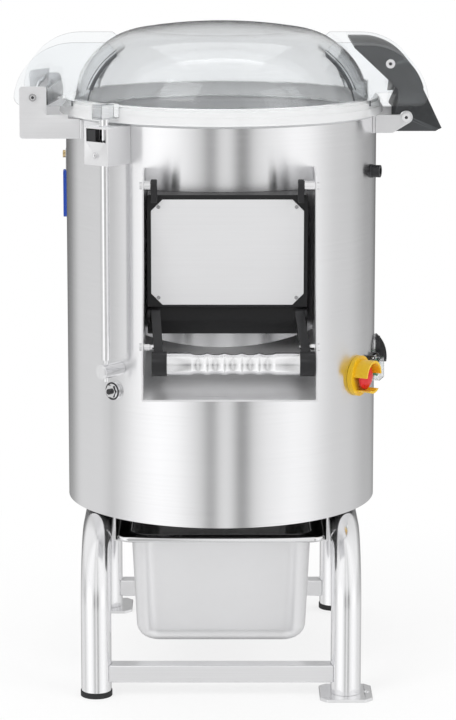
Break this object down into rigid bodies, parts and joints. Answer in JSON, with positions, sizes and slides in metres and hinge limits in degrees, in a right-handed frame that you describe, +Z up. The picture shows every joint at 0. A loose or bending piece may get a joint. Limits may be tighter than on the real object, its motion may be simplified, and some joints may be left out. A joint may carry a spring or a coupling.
{
  "type": "electric potato peeler",
  "caption": "Electric potato peeler: a steel drum on tube legs with a clear hinged lid, a front discharge door with a latch lever, a spinning peeling disc and a waste pan.",
  "frame": {"origin": "on the floor, on the drum's axis, halfway between the two floor anchor holes", "axes": "+Z up the drum's axis, -Y out of the discharge door at the front, +X towards the lid's hinge and the switches"},
  "size_m": [0.5411, 0.528, 0.834],
  "materials": {
    "drum_steel": "satin",
    "frame_steel": "satin",
    "sheet_steel": "satin",
    "bright_steel": "polished",
    "pan_steel": "satin",
    "shaft_steel": "machined",
    "handle_aluminium": "polished",
    "cast_grey": "machined",
    "motor_paint": "semi-gloss",
    "box_paint": "matt",
    "arm_paint": "satin",
    "abrasive": "gritty",
    "clear_plastic": "clear",
    "black_casting": "satin",
    "black_plastic": "matt",
    "black_rubber": "matt",
    "pale_rubber": "matt",
    "dark_steel": "matt",
    "yellow_plastic": "gloss",
    "red_plastic": "gloss",
    "green_plastic": "gloss",
    "blue_vinyl": "gloss",
    "brass": "satin"
  },
  "bodies": {
    "machine": {"outer_drum": "drum_steel", "bottom_plate": "dark_steel", "chamber_floor": "drum_steel", "wall_lining": "drum_steel", "left_leg_tube": "frame_steel", "right_leg_tube": "frame_steel", "cross_bars": "frame_steel", "rubber_feet": "black_rubber", "floor_plates": "frame_steel", "pan_guides": "frame_steel", "discharge_chute": "sheet_steel", "door_pins": "bright_steel", "pin_spacers": "bright_steel", "sensor_box": "sheet_steel", "box_screw": "bright_steel", "lid_switch": "black_plastic", "rod_guide": "frame_steel", "reset_body": "bright_steel", "side_bracket": "sheet_steel", "side_bolt": "bright_steel", "hinge_bracket": "sheet_steel", "hinge_pin": "bright_steel", "cable_gland": "black_plastic", "stop_guard": "yellow_plastic", "start_bezel": "black_plastic", "timer_body": "shaft_steel", "water_valve": "brass", "water_pipe": "bright_steel", "motor": "motor_paint", "bearing_housing": "cast_grey", "shaft_bearings": "shaft_steel", "drive_belt": "black_rubber", "drain_pipe": "drum_steel", "electrical_box": "box_paint", "rim_gasket": "pale_rubber"},
    "lid": {"lid_dome": "clear_plastic", "lid_ears": "clear_plastic", "lid_hinge_arm": "arm_paint", "lid_bolts": "bright_steel", "lid_actuator": "clear_plastic"},
    "door": {"door_frame": "black_casting", "label_plate": "sheet_steel", "label_rivets": "bright_steel", "door_gasket": "black_rubber"},
    "latch_lever": {"lever_arms": "black_casting", "lever_handle": "handle_aluminium"},
    "safety_rod": {"safety_rod": "bright_steel", "rod_spring": "bright_steel"},
    "stop_button": {"stop_button": "red_plastic"},
    "start_button": {"start_button": "green_plastic"},
    "start_cover": {"start_cover": "clear_plastic"},
    "reset_button": {"reset_button": "black_plastic"},
    "timer_knob": {"timer_knob": "black_plastic"},
    "valve_handle": {"valve_lever": "shaft_steel", "valve_sleeve": "blue_vinyl"},
    "waste_pan": {"waste_pan": "pan_steel"},
    "peeling_rotor": {"peeling_disc": "abrasive", "drive_shaft": "shaft_steel", "driven_pulley": "cast_grey"},
    "motor_rotor": {"motor_pulley": "shaft_steel"}
  },
  "joints": [
    {"name": "lid_hinge", "type": "hinge", "parent": "machine", "child": "lid", "pos_m": [0.2354, 0, 0.716], "axis": [0, 1, 0], "range_deg": [0, 105]},
    {"name": "door_hinge", "type": "hinge", "parent": "machine", "child": "door", "pos_m": [0.01, -0.232, 0.652], "axis": [-1, 0, 0], "range_deg": [0, 95]},
    {"name": "latch_hinge", "type": "hinge", "parent": "door", "child": "latch_lever", "pos_m": [0.01, -0.228, 0.492], "axis": [-1, 0, 0], "range_deg": [0, 50]},
    {"name": "safety_rod_press", "type": "slide", "parent": "machine", "child": "safety_rod", "axis": [0, 0, -1], "range_m": [0, 0.004], "stiffness_N_per_m": 600, "springref_m": -0.006, "deforming": ["rod_spring"]},
    {"name": "stop_press", "type": "slide", "parent": "machine", "child": "stop_button", "axis": [-0.8669, 0.4985, 0], "range_m": [0, 0.005]},
    {"name": "start_press", "type": "slide", "parent": "machine", "child": "start_button", "axis": [-0.9613, 0.2756, 0], "range_m": [0, 0.0025], "stiffness_N_per_m": 400, "springref_m": -0.002},
    {"name": "start_cover_hinge", "type": "hinge", "parent": "machine", "child": "start_cover", "pos_m": [0.19802, -0.05678, 0.4076], "axis": [-0.2756, -0.9613, 0], "range_deg": [0, 100]},
    {"name": "reset_press", "type": "slide", "parent": "machine", "child": "reset_button", "axis": [0.6691, 0.7431, 0], "range_m": [0, 0.002], "stiffness_N_per_m": 300, "springref_m": -0.002},
    {"name": "timer_turn", "type": "hinge", "parent": "machine", "child": "timer_knob", "pos_m": [0.20488, -0.00715, 0.4097], "axis": [-0.9994, 0.0349, 0], "range_deg": [0, 300]},
    {"name": "valve_turn", "type": "hinge", "parent": "machine", "child": "valve_handle", "pos_m": [-0.208, 0.128, 0.648], "axis": [-1, 0, 0], "range_deg": [0, 90]},
    {"name": "pan_slide", "type": "slide", "parent": "machine", "child": "waste_pan", "axis": [0, -1, 0], "range_m": [0, 0.3]},
    {"name": "disc_spin", "type": "hinge", "parent": "machine", "child": "peeling_rotor", "pos_m": [0, 0, 0.406], "axis": [0, 0, 1], "continuous": true},
    {"name": "motor_spin", "type": "hinge", "parent": "machine", "child": "motor_rotor", "pos_m": [0, 0.122, 0.306], "axis": [0, 0, 1], "continuous": true}
  ],
  "couplings": [
    {"joint": "motor_spin", "follows": "disc_spin", "ratio": 2.8533}
  ]
}
